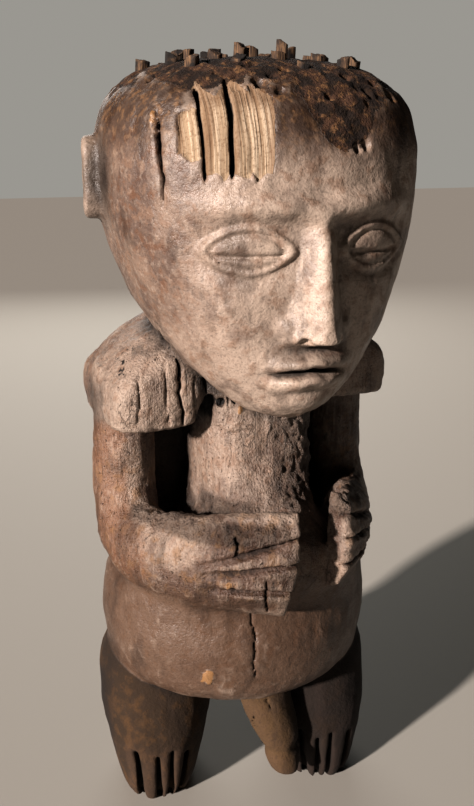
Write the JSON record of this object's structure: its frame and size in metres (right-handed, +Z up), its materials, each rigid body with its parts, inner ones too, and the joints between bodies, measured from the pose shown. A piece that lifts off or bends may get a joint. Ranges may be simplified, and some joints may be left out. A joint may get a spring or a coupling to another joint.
{
  "type": "ancestor figure",
  "caption": "Standing carved ancestor figure with a large round head, blocky shoulders, hands on a full belly, short club-like legs and wooden pegs set in the crown.",
  "frame": {"origin": "on the floor under the middle of the whole object's bounding box", "axes": "+Z up along the standing figure, which faces -Y with its left hand on the +X side"},
  "size_m": [0.1922, 0.1924, 0.4593],
  "materials": {
    "carved_wood": "weathered hardwood with a dark handled patina, dull to faintly glossy",
    "peg_wood": "dry split hardwood, matte"
  },
  "bodies": {
    "root": {"figure": "carved_wood", "crown_peg_01": "peg_wood", "crown_peg_02": "peg_wood", "crown_peg_03": "peg_wood", "crown_peg_04": "peg_wood", "crown_peg_05": "peg_wood", "crown_peg_06": "peg_wood", "crown_peg_07": "peg_wood", "crown_peg_08": "peg_wood", "crown_peg_09": "peg_wood", "crown_peg_10": "peg_wood", "crown_peg_11": "peg_wood", "crown_peg_12": "peg_wood", "crown_peg_13": "peg_wood", "crown_peg_14": "peg_wood", "crown_peg_15": "peg_wood", "crown_peg_16": "peg_wood", "crown_peg_17": "peg_wood", "crown_peg_18": "peg_wood", "crown_peg_19": "peg_wood", "crown_peg_20": "peg_wood", "crown_peg_21": "peg_wood", "crown_peg_22": "peg_wood", "crown_peg_23": "peg_wood", "crown_peg_24": "peg_wood", "crown_peg_25": "peg_wood", "crown_peg_26": "peg_wood", "crown_peg_27": "peg_wood", "crown_peg_28": "peg_wood", "crown_peg_29": "peg_wood"}
  },
  "joints": []
}
